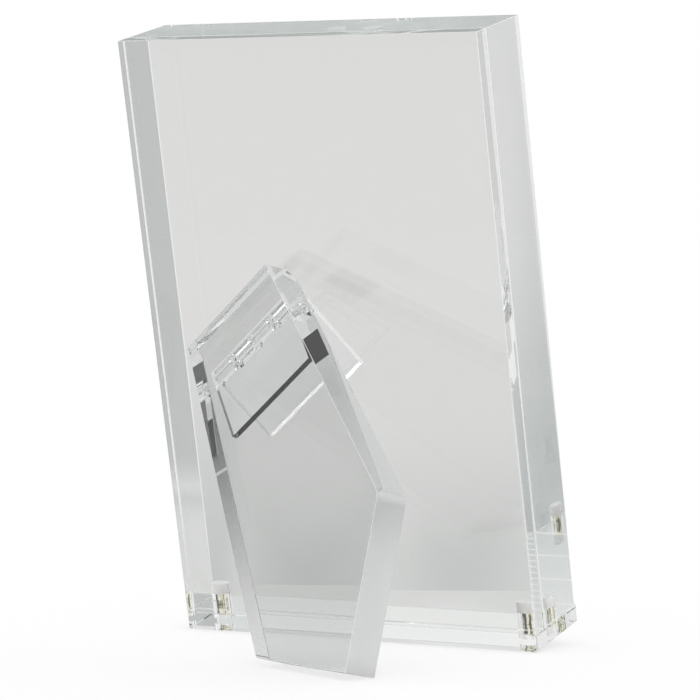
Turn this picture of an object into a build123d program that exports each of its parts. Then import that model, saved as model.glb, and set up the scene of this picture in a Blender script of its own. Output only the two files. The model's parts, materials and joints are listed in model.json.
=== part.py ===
from build123d import *
import math
import os

# Clear acrylic block frame for a 10 x 15 cm print, in millimetres.
# It stands as in use: leaning back on the base bar's rear edge and the easel strut's foot.
# The picture side faces -Y and +Z is up. The origin is on the ground, under the middle of its box.

# Front block, back plate and the print slot between them
frame_width = 110.0
block_height = 164.9
block_thickness = 20.0
plate_thickness = 5.0
slot_gap = 0.5
bond_line = 0.05
edge_chamfer = 0.15

# Clear strips that bond the plate to the block on three sides of the slot
strip_width = 3.0
strip_inset = 0.8

# Base bar under the plate and the block, held by pairs of disc magnets
base_height = 5.0
base_lip = 1.0
base_gap = 0.1
magnet_radius = 3.0
magnet_fit = 0.05
magnet_recess = 0.05
magnet_inset = 6.4
magnet_setback = 9.5
block_magnet_height = 3.0
block_hole_depth = 6.0
base_magnet_height = 2.0
base_hole_depth = 4.2

# Moulded clear hinge, set askew across the back of the plate
hinge_x = 15.7
hinge_height = 85.0
hinge_angle = 40.7
hinge_width = 35.0
knuckle_count = 4
knuckle_gap = 0.35
knuckle_clearance = 0.15
knuckle_round = 0.9
leaf_thickness = 2.0
frame_leaf_length = 21.2
frame_leaf_bevel = 0.8
strut_leaf_length = 20.45
strut_leaf_bevel = 0.2
leaf_root_gap = 0.3
fold_gap = 0.8
pin_radius = 0.9
pin_fit = 0.02
pin_running = 0.05

# Easel strut: a tapered plate with two feet square to each other, for upright and sideways use.
# Folded, its feet lie flush with the frame's bottom and side, so each is level when it is open.
strut_opening = 34.1
strut_thickness = 10.0
strut_top_width = 36.8
strut_taper = 6.7
upright_foot_radius = 2.0
sideways_foot_radius = 5.0
stop_bevel = 2.1
stop_gap = 0.05

# Worked-out places
phi = math.radians(hinge_angle)
opening = math.radians(strut_opening)
lean = math.degrees(math.atan(math.cos(phi) * math.tan(opening / 2)))
frame_depth = plate_thickness + slot_gap + block_thickness
block_bottom = base_height + base_gap
block_top = block_bottom + block_height
slot_y = -plate_thickness - slot_gap / 2
block_back = -plate_thickness - slot_gap
magnet_x = frame_width / 2 - magnet_inset
magnet_y = block_back - magnet_setback
axis_offset = leaf_thickness + fold_gap / 2
knuckle_radius = axis_offset - knuckle_clearance
leaf_root = knuckle_radius + leaf_root_gap
knuckle_pitch = hinge_width / knuckle_count
frame_bore = pin_radius + pin_fit
strut_bore = pin_radius + pin_running

# The hinge's own frame: X along the pin, Y down the leaves, Z away from the back plate
hinge_plane = Plane(
    origin=(hinge_x, axis_offset, hinge_height),
    x_dir=(math.cos(phi), 0, -math.sin(phi)),
    z_dir=(0, 1, 0),
)
hinge = hinge_plane.location
opened = Rot(X=strut_opening)

AT_BOTTOM = (Align.CENTER, Align.CENTER, Align.MIN)
AT_TOP = (Align.CENTER, Align.CENTER, Align.MAX)


def slab(x, y, z):
    """A box between two limits on each axis."""
    size = [high - low for low, high in (x, y, z)]
    middle = [(low + high) / 2 for low, high in (x, y, z)]
    return Pos(*middle) * Box(*size)


def polished(solid):
    """Break every edge of a plate, as buffed acrylic has it."""
    return chamfer(solid.edges(), edge_chamfer)


def across_frame(y, z):
    """A polished slab over the whole width of the frame."""
    return polished(slab((-frame_width / 2, frame_width / 2), y, z))


def make_front_block():
    block = across_frame((-frame_depth, block_back), (block_bottom, block_top))
    for side in (-1, 1):
        hole = Cylinder(magnet_radius + magnet_fit, block_hole_depth, align=AT_BOTTOM)
        block -= Pos(side * magnet_x, magnet_y, block_bottom) * hole
    return block


def make_back_plate():
    return across_frame((-plate_thickness, 0), (block_bottom, block_top))


def make_base_bar():
    bar = across_frame((-frame_depth - base_lip, 0), (0, base_height))
    for side in (-1, 1):
        hole = Cylinder(magnet_radius + magnet_fit, base_hole_depth, align=AT_TOP)
        bar -= Pos(side * magnet_x, magnet_y, base_height) * hole
    return bar


def make_block_magnet(side):
    disc = Cylinder(magnet_radius, block_magnet_height, align=AT_BOTTOM)
    return Pos(side * magnet_x, magnet_y, block_bottom + magnet_recess) * disc


def make_base_magnet(side):
    disc = Cylinder(magnet_radius, base_magnet_height, align=AT_TOP)
    return Pos(side * magnet_x, magnet_y, base_height - magnet_recess) * disc


def make_strip(x, z):
    half = slot_gap / 2 - bond_line
    return slab(x, (slot_y - half, slot_y + half), z)


def make_side_strip(side):
    outer = side * (frame_width / 2 - strip_inset)
    inner = outer - side * strip_width
    return make_strip(sorted((outer, inner)), (block_bottom + strip_inset, block_top - strip_inset))


def make_top_strip():
    half = frame_width / 2 - strip_inset - strip_width - bond_line
    top = block_top - strip_inset
    return make_strip((-half, half), (top - strip_width, top))


def make_leaf(side, length, bevel, first_knuckle, bore_radius):
    """One hinge leaf in the hinge's frame, folded; side is -1 on the plate and 1 on the strut."""
    seat = side * (axis_offset - bond_line)
    face = seat - side * leaf_thickness
    z = sorted((seat, face))
    leaf = slab((-hinge_width / 2, hinge_width / 2), (leaf_root, length), z)
    free_face = leaf.faces().sort_by(Axis.Z)[-1 if side < 0 else 0]
    leaf = chamfer(free_face.edges().sort_by(Axis.Y)[-1], bevel)
    for index in range(first_knuckle, knuckle_count, 2):
        start = -hinge_width / 2 + index * knuckle_pitch + knuckle_gap / 2
        end = start + knuckle_pitch - knuckle_gap
        barrel = Cylinder(knuckle_radius, end - start)
        barrel = fillet(barrel.edges().filter_by(GeomType.CIRCLE), knuckle_round)
        leaf += Pos((start + end) / 2, 0, 0) * Rot(Y=90) * barrel
        leaf += slab((start, end), (0, leaf_root), z)
    return leaf - Rot(Y=90) * Cylinder(bore_radius, 2 * hinge_width)


def strut_outline():
    """The folded strut in the hinge's frame: its top edge, then the corners round its two feet."""
    down = (math.sin(phi), math.cos(phi))
    sideways = (-math.cos(phi), math.sin(phi))
    reach = frame_width / 2 + hinge_x
    taper = math.radians(strut_taper)
    half = strut_top_width / 2
    top = -axis_offset / math.tan(opening / 2) - stop_bevel / math.tan(opening)

    def edge_end(side, foot_direction, foot_distance):
        run = (side * math.sin(taper), math.cos(taper))
        start = (side * half, top)
        passed = start[0] * foot_direction[0] + start[1] * foot_direction[1]
        rate = run[0] * foot_direction[0] + run[1] * foot_direction[1]
        length = (foot_distance - passed) / rate
        return start[0] + length * run[0], start[1] + length * run[1]

    upright_end = edge_end(1, down, hinge_height)
    sideways_end = edge_end(-1, sideways, reach)
    foot_corner = tuple(hinge_height * d + reach * s for d, s in zip(down, sideways))
    corners = [(-half, top), (half, top), upright_end, foot_corner, sideways_end]
    outline = make_face(Polyline(*corners, close=True))
    for corner, radius in ((upright_end, upright_foot_radius), (sideways_end, sideways_foot_radius)):
        vertex = outline.vertices().sort_by_distance((*corner, 0))[0]
        outline = fillet(vertex, radius)
    return outline


def make_strut():
    """The easel strut in the hinge's frame, opened until its top edge bears on the plate."""
    strut = Pos(0, 0, axis_offset) * extrude(strut_outline(), strut_thickness)
    faces = strut.faces().sort_by(Axis.Z)
    strut = opened * chamfer(faces[0].edges() + faces[-1].edges(), edge_chamfer)
    span = 4 * (strut_top_width + strut_thickness)
    return strut - Pos(0, 0, stop_gap - axis_offset) * Box(span, span, span, align=AT_TOP)


def make_pin():
    return Rot(Y=90) * Cylinder(pin_radius, hinge_width)


pieces = {
    "front_block": make_front_block(),
    "back_plate": make_back_plate(),
    "bond_strip_left": make_side_strip(-1),
    "bond_strip_right": make_side_strip(1),
    "bond_strip_top": make_top_strip(),
    "block_magnet_left": make_block_magnet(-1),
    "block_magnet_right": make_block_magnet(1),
    "base_bar": make_base_bar(),
    "base_magnet_left": make_base_magnet(-1),
    "base_magnet_right": make_base_magnet(1),
    "hinge_frame_leaf": hinge * make_leaf(-1, frame_leaf_length, frame_leaf_bevel, 1, frame_bore),
    "hinge_strut_leaf": hinge * opened * make_leaf(1, strut_leaf_length, strut_leaf_bevel, 0, strut_bore),
    "hinge_pin": hinge * make_pin(),
    "easel_strut": hinge * make_strut(),
}

# Lean the upright frame back, then set it on the ground over the origin
leaning = {name: Rot(X=-lean) * piece for name, piece in pieces.items()}
box = Compound([solid for piece in leaning.values() for solid in piece.solids()]).bounding_box()
ground = Pos(-box.center().X, -box.center().Y, -box.min.Z)

os.makedirs("parts", exist_ok=True)
for name, piece in leaning.items():
    export_step(ground * piece, f"parts/{name}.step")

stand = ground * Rot(X=-lean)
axis_point = (stand * hinge).position
axis_end = (stand * hinge * Pos(-1, 0, 0)).position
base_end = (stand * Pos(0, 0, -1)).position
base_start = stand.position
print("lean", round(lean, 4), "size", box.size)
print("fold axis through", axis_point, "along", axis_end - axis_point)
print("base slides along", base_end - base_start)
print("base face point", (stand * Pos(0, -frame_depth / 2, 0)).position)
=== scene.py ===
import bpy
import json
import math
from functools import reduce
from mathutils import Matrix, Quaternion, Vector

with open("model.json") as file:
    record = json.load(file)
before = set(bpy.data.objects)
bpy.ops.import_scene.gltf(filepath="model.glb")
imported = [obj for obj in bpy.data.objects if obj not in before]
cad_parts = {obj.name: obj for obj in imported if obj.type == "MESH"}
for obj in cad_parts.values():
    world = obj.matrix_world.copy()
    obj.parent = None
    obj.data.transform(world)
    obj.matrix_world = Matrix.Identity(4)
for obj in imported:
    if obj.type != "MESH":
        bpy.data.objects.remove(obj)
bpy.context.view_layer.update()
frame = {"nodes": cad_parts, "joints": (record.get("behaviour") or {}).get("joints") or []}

# Camera: behind the frame, to one side and a little above its middle, with a long lens
CAMERA_AT = Vector((-0.4461, 0.7976, 0.1150))
CAMERA_AIM = Vector((-0.0154, 0.0080, 0.0821))
CAMERA_LENS_MM = 173.7
CAMERA_SENSOR_MM = 36.0
CAMERA_ROLL = math.radians(0.2)

# Clear plastics: each one's tint, refractive index, and roughness where its uneven polish is worst.
# Acrylic also has a body tint, which builds up with the way through it.
WHITE = (1.0, 1.0, 1.0)
ACRYLIC_TINT = (0.950, 0.948, 0.945)
# The strut is the same acrylic as the block, tinted greyer: painted shade
STRUT_SHADED_TINT = (0.772, 0.780, 0.778)
ACRYLIC_IOR = 1.491
ACRYLIC_ROUGHEST = 0.012
ACRYLIC_BODY_TINT = (0.0, 0.10, 0.09)
ACRYLIC_DENSITY = 1.0
HINGE_TINT = (0.93, 0.94, 0.94)
HINGE_ROUGHEST = 0.03
STRIP_TINT = (0.995, 0.997, 0.995)
STRIP_IOR = 1.003
POLISH_NOISE = {"Scale": 60.0, "Detail": 4.0, "Roughness": 0.6}
POLISH_RANGE = (0.45, 0.85)

# Places on the clear pieces: how near a bonded face counts as bonded, the strut leaf's plate, the frame
# leaf's rim, the empty ends of the block's holes, and the ground edges. FAR_OUT is past every piece.
BOND_REACH = 0.00008
LEAF_PLATE_LENGTH = 0.0115
LEAF_SIDE_KEPT = 0.0003
LEAF_SIDE_RIM = 0.0001
LEAF_END_RIM = 0.0008
HOLE_MARGIN = 0.0003
HOLE_OVER_MAGNET = 0.0035
GROUND_EDGE = 0.0002
FAR_OUT = 1.0

# Frost, and how clear each frosted place stays: the block's holes and ground edges, the frame leaf's rim,
# the strut's feet and edges, and the share of that which its edges keep. The last pair are the cosines at
# which a face starts to count as facing a way, and counts wholly.
FROST_ROUGHNESS = 0.5
GROUND_CLEARNESS = 0.3
LEAF_CLEARNESS = 0.25
FOOT_CLEARNESS = 0.8
EDGE_CLEARNESS = 0.5
FACING_FADE = (0.90, 0.99)

# Magnets: the size of the painted reflection streaks on the plating, and the tones across them:
# dark, straw and white, painted reflections and glints
REFLECTION_STREAK_SIZE = (0.0011, 0.0011, 0.0045)
REFLECTION_STREAK_NOISE = {"Scale": 1.0, "Detail": 2.0, "Roughness": 0.6}
NICKEL_ROUGHNESS = 0.12
NICKEL_PAINTED_REFLECTIONS = (
    (0.34, (0.012, 0.02, 0.035)),
    (0.40, (0.05, 0.06, 0.07)),
    (0.45, (0.40, 0.39, 0.23)),
    (0.51, (0.85, 0.82, 0.54)),
    (0.57, (1.0, 0.99, 0.90)),
)

# Floor: white paper that partly glows. Gloss and clear plastic see it toned before the backdrop, and darkened
# by soft round painted shadows in front of the frame and round the strut's foot: each one's middle, the
# radius of its full colour, the radius where it ends, then its colour.
FLOOR_RADIUS = 40.0
FLOOR_SIDES = 96
FLOOR_DROP = 0.00002
FLOOR_PAPER = (0.995, 0.995, 0.995)
FLOOR_GLOW = 0.7
FLOOR_BEFORE = (0.686, 0.686, 0.68)
FLOOR_PAINTED_SHADOWS = {
    "front_side_painted_shadow": ((-0.10, -0.30, 0.0), 0.17, 0.27, (0.62, 0.64, 0.63)),
    "foot_painted_shadow": ((-0.005, 0.0, 0.0), 0.03, 0.06, (0.80, 0.82, 0.81)),
}

# Light: a white tent with a lamp and a few darker places, which gloss and clear plastic show. Each is a
# soft-edged disc: its azimuth and elevation, the angles of its middle and its rim, then its colour.
TENT_PLACES = {
    "backdrop": (299.0, 0.0, 12.0, 20.0, (0.772, 0.772, 0.768)),
    "back_screen": (300.0, 17.0, 4.0, 16.0, (0.70, 0.74, 0.72)),
    "side_screen": (70.0, 63.0, 8.0, 18.0, (0.74, 0.75, 0.745)),
    "lamp": (323.0, 13.0, 5.0, 9.0, (9.0, 9.0, 9.0)),
    "lamp_hood": (234.0, 50.0, 11.5, 16.0, (0.0, 0.008, 0.014)),
}

# Shade cards: sheer tinted sheets round the frame, painted shade that darkens what gloss and clear plastic
# see behind them; the three at floor level are painted shadows on the floor in front of the frame. Each one's
# middle, the azimuth that it faces, its width and height, the share of it that has its full colour, then the
# colour that it gives what is behind it.
SHADE_CARDS = {
    "side_shade_card": ((-0.135, -0.327, 0.12), 58.0, 0.14, 0.24, 0.75, (0.515, 0.54, 0.537)),
    "far_shade_card": ((0.42, 0.14, 0.15), 198.0, 0.30, 0.30, 0.75, (0.80, 0.81, 0.80)),
    "front_floor_shadow": ((0.0821, -0.0929, 0.0), 117.0, 0.033, 0.20, 0.0, (0.70, 0.735, 0.735)),
    "middle_floor_shadow": ((0.0862, -0.1685, 0.0), 117.0, 0.06, 0.084, 0.0, (0.82, 0.835, 0.835)),
    "low_floor_shadow": ((0.0424, -0.1823, 0.0), 117.0, 0.07, 0.12, 0.0, (0.80, 0.82, 0.815)),
}

# How often light may turn in the clear pieces, mirror on gloss, and pass bonds and cards
CLEAR_BOUNCES = 48
GLOSS_BOUNCES = 32
SHEER_BOUNCES = 32


def joint(name):
    """The frame's joint of that name."""
    return next(item for item in frame["joints"] if item["name"] == name)


def reach(node, direction):
    """The lowest and highest place of a node's corners along a direction."""
    places = [corner.co.dot(direction) for corner in frame["nodes"][node].data.vertices]
    return min(places), max(places)


# The frame's own directions: across, up along it, and out of its back. The floor is straight down.
DOWN = Vector((0.0, 0.0, -1.0))
ACROSS = Vector((1.0, 0.0, 0.0))
UP = -Vector(joint("base_pull")["axis"]).normalized()
BACK = UP.cross(ACROSS).normalized()

# The hinge's directions: along the pin, down the leaves, and out of the strut's outer face
PIN = -Vector(joint("strut_fold")["axis"]).normalized()
OPENING = math.radians(joint("strut_fold")["range_deg"][1])
OPENED = Quaternion(PIN, OPENING)
LEAF_DOWN = BACK.cross(PIN).normalized()
STRUT_BACK = OPENED @ BACK
STRUT_DOWN = OPENED @ LEAF_DOWN


def new_material(name):
    """A material and its empty node tree."""
    material = bpy.data.materials.new(name)
    material.use_nodes = True
    tree = material.node_tree
    tree.nodes.clear()
    return material, tree


def find(tree, kind):
    """The first node of a kind in a tree."""
    return next(node for node in tree.nodes if node.type == kind)


def feed(tree, socket, value):
    """Link a socket to another one, or give it a plain value: a colour is opaque."""
    if isinstance(value, bpy.types.NodeSocket):
        tree.links.new(value, socket)
    elif socket.type == "RGBA":
        socket.default_value = (*value, 1.0)
    else:
        socket.default_value = value


def add(tree, kind, *terms, **values):
    """A node: terms feed its inputs in order, values feed an input of that name or else set a property."""
    node = tree.nodes.new(kind)
    for name, value in values.items():
        if name in node.inputs:
            feed(tree, node.inputs[name], value)
        else:
            setattr(node, name, value)
    for socket, term in zip(node.inputs, terms):
        feed(tree, socket, term)
    return node


def maths(tree, operation, *terms):
    """The result of an operation on numbers."""
    return add(tree, "ShaderNodeMath", *terms, operation=operation).outputs["Value"]


def vector_maths(tree, operation, *terms, gives="Vector"):
    """The result of an operation on vectors, which gives a Vector or a Value."""
    return add(tree, "ShaderNodeVectorMath", *terms, operation=operation).outputs[gives]


def either_of(tree, shares):
    """The greatest of some shares."""
    return reduce(lambda most, share: maths(tree, "MAXIMUM", most, share), shares)


def ramp(tree, value, start, end, low=0.0, high=1.0, kind="LINEAR"):
    """A number that goes from low to high while a value goes from start to end."""
    limits = {"From Min": start, "From Max": end, "To Min": low, "To Max": high}
    return add(tree, "ShaderNodeMapRange", value, interpolation_type=kind, **limits).outputs["Result"]


def blend_colour(tree, share, first, second):
    """A mix of two colours, each a socket or a plain colour."""
    mix = add(tree, "ShaderNodeMix", share, data_type="RGBA")
    colours = [socket for socket in mix.inputs if socket.type == "RGBA"]
    feed(tree, colours[0], first)
    feed(tree, colours[1], second)
    return next(socket for socket in mix.outputs if socket.type == "RGBA")


def direction(azimuth, elevation):
    """The unit vector at an azimuth from +X and an elevation, in degrees."""
    turn, rise = math.radians(azimuth), math.radians(elevation)
    return Vector((math.cos(rise) * math.cos(turn), math.cos(rise) * math.sin(turn), math.sin(rise)))


def local_box(axes, spans):
    """Turn three directions and the spans along them into a place, a turn and half sizes."""
    middle = sum((axis * (low + high) / 2 for axis, (low, high) in zip(axes, spans)), Vector())
    turn = Matrix(axes).transposed().to_euler()
    half = Vector([(high - low) / 2 for low, high in spans])
    return middle, turn, half


def box_mask(tree, place, box, rounded):
    """1 inside a box, or inside the upright cylinder that fills it."""
    middle, turn, half = box
    fit = add(tree, "ShaderNodeMapping", place, vector_type="TEXTURE",
              Location=middle, Rotation=turn, Scale=half)
    parts = add(tree, "ShaderNodeSeparateXYZ", vector_maths(tree, "ABSOLUTE", fit.outputs["Vector"])).outputs
    if rounded:
        flat = add(tree, "ShaderNodeCombineXYZ", parts["X"], parts["Y"])
        level = vector_maths(tree, "LENGTH", flat.outputs["Vector"], gives="Value")
    else:
        level = either_of(tree, (parts["X"], parts["Y"]))
    return maths(tree, "LESS_THAN", either_of(tree, (level, parts["Z"])), 1.0)


def inside_mask(tree, place, boxes, rounded=False):
    """1 inside any of the boxes, or inside the upright cylinders that fill them."""
    return either_of(tree, [box_mask(tree, place, box, rounded) for box in boxes])


def bond_boxes():
    """The thin spaces where clear pieces are bonded face to face, so that light crosses them unbent."""
    boxes = []
    for node, down, back, seat in (
        ("hinge_frame_leaf", LEAF_DOWN, BACK, reach("back_plate", BACK)[1]),
        ("hinge_strut_leaf", STRUT_DOWN, STRUT_BACK, reach("easel_strut", STRUT_BACK)[0]),
    ):
        spans = (reach(node, PIN), reach(node, down), (seat - BOND_REACH, seat + BOND_REACH))
        boxes.append(local_box((PIN, down, back), spans))
    return boxes


def hole_mask(tree, place):
    """1 in the empty ends of the drilled holes over the block's magnets."""
    boxes = []
    for side in ("left", "right"):
        over = reach(f"block_magnet_{side}", UP)[1]
        spans = []
        for axis in (ACROSS, BACK):
            low, high = reach(f"block_magnet_{side}", axis)
            spans.append((low - HOLE_MARGIN, high + HOLE_MARGIN))
        boxes.append(local_box((ACROSS, BACK, UP), (*spans, (over, over + HOLE_OVER_MAGNET))))
    return inside_mask(tree, place, boxes, rounded=True)


def seam_mask(tree, place):
    """1 along the ground edges at both sides: where the base bar meets the block, and at the top."""
    low, high = reach("front_block", UP)
    seam = (reach("base_bar", UP)[1] - GROUND_EDGE, low + GROUND_EDGE)
    top = (high - GROUND_EDGE, high + GROUND_EDGE)
    depth = reach("base_bar", BACK)
    boxes = []
    for side in reach("front_block", ACROSS):
        beside = (side - GROUND_EDGE, side + GROUND_EDGE)
        boxes += [local_box((ACROSS, BACK, UP), (beside, depth, level)) for level in (seam, top)]
    return inside_mask(tree, place, boxes)


def frosted_ground(tree, place):
    """1 in the block's holes and along the ground edges."""
    return either_of(tree, (hole_mask(tree, place), seam_mask(tree, place)))


def painted_highlight_edge(tree, place):
    """1 along the block's far upright edge, left untinted: a painted highlight line."""
    side = reach("front_block", ACROSS)[1]
    front = reach("front_block", BACK)[0]
    beside, before = ((end - GROUND_EDGE, end + GROUND_EDGE) for end in (side, front))
    edge = local_box((ACROSS, BACK, UP), (beside, before, reach("front_block", UP)))
    return inside_mask(tree, place, [edge])


def frosted_leaf(tree, place):
    """1 at the frame leaf's sides and its rounded end."""
    low, high = reach("hinge_frame_leaf", PIN)
    end = reach("hinge_frame_leaf", LEAF_DOWN)[1]
    within = (low + LEAF_SIDE_RIM, high - LEAF_SIDE_RIM)
    over = (end - FAR_OUT, end - LEAF_END_RIM)
    middle = local_box((PIN, LEAF_DOWN, BACK), (within, over, (-FAR_OUT, FAR_OUT)))
    return maths(tree, "SUBTRACT", 1.0, inside_mask(tree, place, [middle]))


def facing_mask(tree, ways):
    """1 on the faces that face along any of the directions, seen from outside or from inside."""
    facing = add(tree, "ShaderNodeTexCoord").outputs["Normal"]
    shares = []
    for way in ways:
        along = vector_maths(tree, "DOT_PRODUCT", facing, way, gives="Value")
        shares.append(ramp(tree, maths(tree, "ABSOLUTE", along), *FACING_FADE, kind="SMOOTHSTEP"))
    return either_of(tree, shares)


def strut_face(way):
    """The normal of the strut's face that comes nearest to facing a direction."""
    sides = frame["nodes"]["easel_strut"].data.polygons
    return max(sides, key=lambda side: side.normal.dot(way)).normal.copy()


def strut_feet():
    """The normals of the strut's two foot faces."""
    return [strut_face(way) for way in (DOWN, -ACROSS)]


def strut_edges():
    """The normals of the edges between the strut's outer face and its feet and side."""
    return [(STRUT_BACK + side).normalized() for side in (*strut_feet(), strut_face(-PIN))]


def frosted_strut(tree, place):
    """1 on the strut's two foot faces and its outer edges."""
    return facing_mask(tree, strut_feet() + strut_edges())


def milky_strut(tree, place):
    """1 on the strut's outer edges, which are whiter than its feet."""
    return facing_mask(tree, strut_edges())


def painted_light_bevel(tree, place):
    """1 on the strut's stop bevel, which faces the plate: the strut's painted shade is left off it, so it is
    painted lighter.
    """
    return facing_mask(tree, [BACK])


def make_clear(name, tint, roughest, ior=ACRYLIC_IOR, frosted=None, clearness=1.0, milky=None, painted_light=None):
    """Clear plastic: polished, with a trace of uneven polish, white where it's frosted, painted lighter where
    it's left untinted, unseen at bonds.
    """
    material, tree = new_material(name)
    place = add(tree, "ShaderNodeTexCoord").outputs["Object"]
    haze = add(tree, "ShaderNodeTexNoise", place, **POLISH_NOISE)
    rough = ramp(tree, haze.outputs["Fac"], *POLISH_RANGE, high=roughest)
    tone = tint
    clear = 1.0
    if frosted:
        share = frosted(tree, place)
        rough = maths(tree, "MULTIPLY_ADD", share, FROST_ROUGHNESS, rough)
        clear = ramp(tree, share, 0.0, 1.0, low=1.0, high=clearness)
        tone = blend_colour(tree, share, tone, WHITE)
    if milky:
        kept = ramp(tree, milky(tree, place), 0.0, 1.0, low=1.0, high=EDGE_CLEARNESS)
        clear = maths(tree, "MULTIPLY", clear, kept)
    # Places left untinted: painted highlights
    if painted_light:
        tone = blend_colour(tree, painted_light(tree, place), tone, WHITE)
    unbonded = maths(tree, "SUBTRACT", 1.0, inside_mask(tree, place, bond_boxes()))
    looks = {"Base Color": tone, "Roughness": rough, "Transmission Weight": clear}
    shader = add(tree, "ShaderNodeBsdfPrincipled", IOR=ior, Alpha=unbonded, **looks)
    add(tree, "ShaderNodeOutputMaterial", Surface=shader.outputs["BSDF"])
    return material


def fill_clear(material):
    """The acrylic's own faint absorption, seen along the long ways through it."""
    tree = material.node_tree
    body = add(tree, "ShaderNodeVolumeAbsorption", Color=ACRYLIC_BODY_TINT, Density=ACRYLIC_DENSITY)
    feed(tree, find(tree, "OUTPUT_MATERIAL").inputs["Volume"], body.outputs["Volume"])


def dull_leaf(material):
    """The strut leaf's plate swallows the light that its free face would mirror back."""
    tree = material.node_tree
    polished = find(tree, "BSDF_PRINCIPLED").outputs["BSDF"]
    place = find(tree, "TEX_COORD").outputs["Object"]
    first, last = reach("hinge_strut_leaf", PIN)
    end = reach("hinge_strut_leaf", STRUT_DOWN)[1]
    seat = reach("easel_strut", STRUT_BACK)[0] - BOND_REACH
    along = (first - FAR_OUT, last - LEAF_SIDE_KEPT)
    down = (end - LEAF_PLATE_LENGTH, end + FAR_OUT)
    plate = local_box((PIN, STRUT_DOWN, STRUT_BACK), (along, down, (seat - FAR_OUT, seat)))
    dull = add(tree, "ShaderNodeBsdfRefraction", Color=HINGE_TINT, IOR=ACRYLIC_IOR).outputs["BSDF"]
    either = add(tree, "ShaderNodeMixShader", inside_mask(tree, place, [plate]), polished, dull)
    feed(tree, find(tree, "OUTPUT_MATERIAL").inputs["Surface"], either.outputs["Shader"])


def make_nickel():
    """Bright plating with painted reflections: dark, straw-coloured and white streaks along the magnets."""
    material, tree = new_material("nickel")
    place = add(tree, "ShaderNodeTexCoord").outputs["Object"]
    turn = Matrix((ACROSS, BACK, UP)).transposed().to_euler()
    reflection_streak = add(tree, "ShaderNodeMapping", place, vector_type="TEXTURE", Rotation=turn, Scale=REFLECTION_STREAK_SIZE)
    noise = add(tree, "ShaderNodeTexNoise", reflection_streak.outputs["Vector"], **REFLECTION_STREAK_NOISE)
    # Painted reflections and glints, streaked along the magnets
    tone = add(tree, "ShaderNodeValToRGB", noise.outputs["Fac"])
    stops = tone.color_ramp.elements
    for level, _ in NICKEL_PAINTED_REFLECTIONS[len(stops):]:
        stops.new(level)
    for stop, (level, colour) in zip(stops, NICKEL_PAINTED_REFLECTIONS):
        stop.position = level
        stop.color = (*colour, 1.0)
    looks = {"Base Color": tone.outputs["Color"], "Metallic": 1.0, "Roughness": NICKEL_ROUGHNESS}
    shader = add(tree, "ShaderNodeBsdfPrincipled", **looks)
    add(tree, "ShaderNodeOutputMaterial", Surface=shader.outputs["BSDF"])
    return material


def dress(material, *nodes):
    """Give nodes a material in all their slots."""
    for node in nodes:
        piece = frame["nodes"][node]
        if not piece.material_slots:
            piece.data.materials.append(material)
        for slot in piece.material_slots:
            slot.material = material


def tent_share(tree, way, azimuth, elevation, middle, rim):
    """1 towards the middle of a soft-edged disc of the tent, and 0 past its rim."""
    near = vector_maths(tree, "DOT_PRODUCT", way, direction(azimuth, elevation), gives="Value")
    start, end = (math.cos(math.radians(angle)) for angle in (rim, middle))
    return ramp(tree, near, start, end, kind="SMOOTHSTEP")


def make_floor():
    """White to the camera, toned and with painted shadows to gloss and clear plastic, and plain paper to the
    rest of the light.
    """
    material, tree = new_material("floor")
    place = add(tree, "ShaderNodeTexCoord").outputs["Object"]
    path = add(tree, "ShaderNodeLightPath").outputs
    before = tent_share(tree, vector_maths(tree, "NORMALIZE", place), *TENT_PLACES["backdrop"][:-1])
    tone = blend_colour(tree, before, WHITE, FLOOR_BEFORE)
    # Painted shadows on the floor, which only gloss and clear plastic see
    for middle, full, radius, colour in FLOOR_PAINTED_SHADOWS.values():
        apart = vector_maths(tree, "DISTANCE", place, middle, gives="Value")
        tone = blend_colour(tree, ramp(tree, apart, radius, full, kind="SMOOTHSTEP"), tone, colour)
    tone = blend_colour(tree, path["Is Camera Ray"], tone, WHITE)
    paper = add(tree, "ShaderNodeBsdfDiffuse", Color=FLOOR_PAPER).outputs["BSDF"]
    glow = add(tree, "ShaderNodeEmission", Color=tone, Strength=1.0).outputs["Emission"]
    seen = either_of(tree, [path[kind] for kind in ("Is Camera Ray", "Is Glossy Ray", "Is Transmission Ray")])
    shader = add(tree, "ShaderNodeMixShader", maths(tree, "MULTIPLY", seen, FLOOR_GLOW), paper, glow)
    add(tree, "ShaderNodeOutputMaterial", Surface=shader.outputs["Shader"])
    material.cycles.emission_sampling = "NONE"
    bpy.ops.mesh.primitive_circle_add(vertices=FLOOR_SIDES, radius=FLOOR_RADIUS, fill_type="NGON")
    floor = bpy.context.object
    floor.name = "floor"
    floor.location.z = -FLOOR_DROP
    floor.data.materials.append(material)


def make_shade_card(name, middle, azimuth, width, height, full, colour):
    """A sheer card of painted shade that only gloss and clear plastic show: its own sides run from -1 to 1,
    facing +Y.
    """
    material, tree = new_material(name)
    place = add(tree, "ShaderNodeTexCoord").outputs["Object"]
    parts = add(tree, "ShaderNodeSeparateXYZ", vector_maths(tree, "ABSOLUTE", place)).outputs
    edge = ramp(tree, either_of(tree, (parts["X"], parts["Z"])), full, 1.0, kind="SMOOTHSTEP")
    sheer = add(tree, "ShaderNodeBsdfTransparent", Color=blend_colour(tree, edge, colour, WHITE))
    add(tree, "ShaderNodeOutputMaterial", Surface=sheer.outputs["BSDF"])
    mesh = bpy.data.meshes.new(name)
    mesh.from_pydata([(-1, 0, -1), (1, 0, -1), (1, 0, 1), (-1, 0, 1)], [], [(0, 1, 2, 3)])
    mesh.materials.append(material)
    card = bpy.data.objects.new(name, mesh)
    bpy.context.scene.collection.objects.link(card)
    card.location = middle
    card.rotation_euler.z = math.radians(azimuth) - math.pi / 2
    card.scale = (width / 2, 1.0, height / 2)
    card.visible_camera = False
    card.visible_diffuse = False
    card.visible_shadow = False


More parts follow.
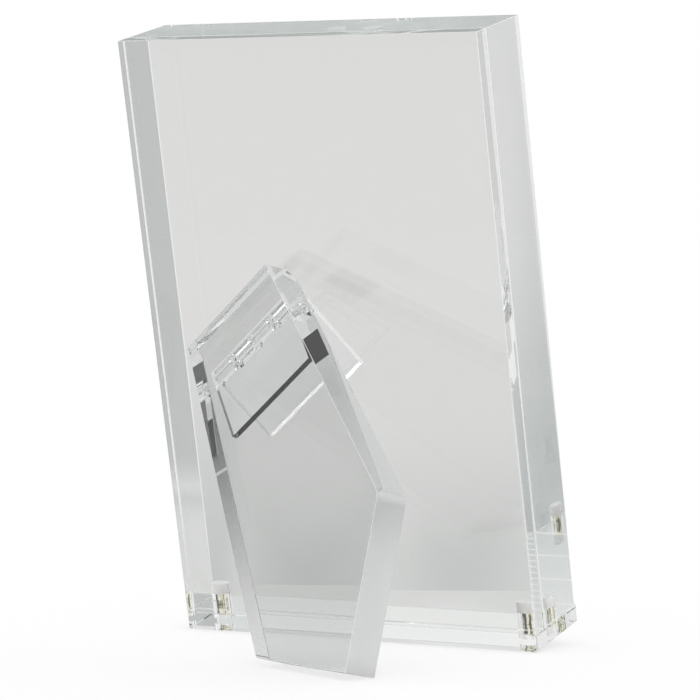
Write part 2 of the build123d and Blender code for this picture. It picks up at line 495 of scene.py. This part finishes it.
def make_world():
    """The tent: plain white to the camera and to matt surfaces."""
    world = bpy.data.worlds.new("studio")
    bpy.context.scene.world = world
    world.use_nodes = True
    world.cycles.sampling_method = "NONE"
    tree = world.node_tree
    tree.nodes.clear()
    way = add(tree, "ShaderNodeTexCoord").outputs["Generated"]
    path = add(tree, "ShaderNodeLightPath").outputs
    tent = WHITE
    for *disc, colour in TENT_PLACES.values():
        tent = blend_colour(tree, tent_share(tree, way, *disc), tent, colour)
    plain = either_of(tree, (path["Is Camera Ray"], path["Is Diffuse Ray"]))
    light = add(tree, "ShaderNodeBackground", Color=blend_colour(tree, plain, tent, WHITE), Strength=1.0)
    add(tree, "ShaderNodeOutputWorld", Surface=light.outputs["Background"])


def make_camera():
    data = bpy.data.cameras.new("camera")
    data.lens = CAMERA_LENS_MM
    data.sensor_width = CAMERA_SENSOR_MM
    camera = bpy.data.objects.new("camera", data)
    bpy.context.scene.collection.objects.link(camera)
    turn = (CAMERA_AIM - CAMERA_AT).to_track_quat("-Z", "Y") @ Quaternion((0.0, 0.0, 1.0), CAMERA_ROLL)
    camera.matrix_world = Matrix.LocRotScale(CAMERA_AT, turn, None)
    bpy.context.scene.camera = camera


acrylic = make_clear("clear_acrylic", ACRYLIC_TINT, ACRYLIC_ROUGHEST, frosted=frosted_ground,
                     clearness=GROUND_CLEARNESS, painted_light=painted_highlight_edge)
fill_clear(acrylic)
# The strut's acrylic, tinted greyer than the block's: painted shade
shaded_strut_acrylic = make_clear("clear_strut_acrylic", STRUT_SHADED_TINT, ACRYLIC_ROUGHEST, frosted=frosted_strut,
                           clearness=FOOT_CLEARNESS, milky=milky_strut, painted_light=painted_light_bevel)
fill_clear(shaded_strut_acrylic)
hinge_plastic = make_clear("clear_hinge_plastic", HINGE_TINT, HINGE_ROUGHEST, frosted=frosted_leaf,
                           clearness=LEAF_CLEARNESS)
leaf_plastic = make_clear("clear_leaf_plastic", HINGE_TINT, HINGE_ROUGHEST)
dull_leaf(leaf_plastic)
bond_strip = make_clear("clear_bond_strip", STRIP_TINT, HINGE_ROUGHEST, ior=STRIP_IOR)
nickel = make_nickel()

dress(acrylic, "front_block", "back_plate", "base_bar")
dress(shaded_strut_acrylic, "easel_strut")
dress(hinge_plastic, "hinge_frame_leaf", "hinge_pin")
dress(leaf_plastic, "hinge_strut_leaf")
dress(bond_strip, "bond_strip_left", "bond_strip_right", "bond_strip_top")
dress(nickel, "block_magnet_left", "block_magnet_right", "base_magnet_left", "base_magnet_right")

# Light reaches the floor through the clear block, strips and plate, so their shadow is left out
for node in ("front_block", "back_plate", "bond_strip_left", "bond_strip_right", "bond_strip_top"):
    frame["nodes"][node].visible_diffuse = False

make_floor()
# Painted shade round the frame, and painted shadows on the floor in front of it
for name, card in SHADE_CARDS.items():
    make_shade_card(name, *card)
make_world()
make_camera()

scene = bpy.context.scene
scene.view_settings.view_transform = "Standard"
scene.cycles.max_bounces = CLEAR_BOUNCES
scene.cycles.transmission_bounces = CLEAR_BOUNCES
scene.cycles.glossy_bounces = GLOSS_BOUNCES
scene.cycles.transparent_max_bounces = SHEER_BOUNCES
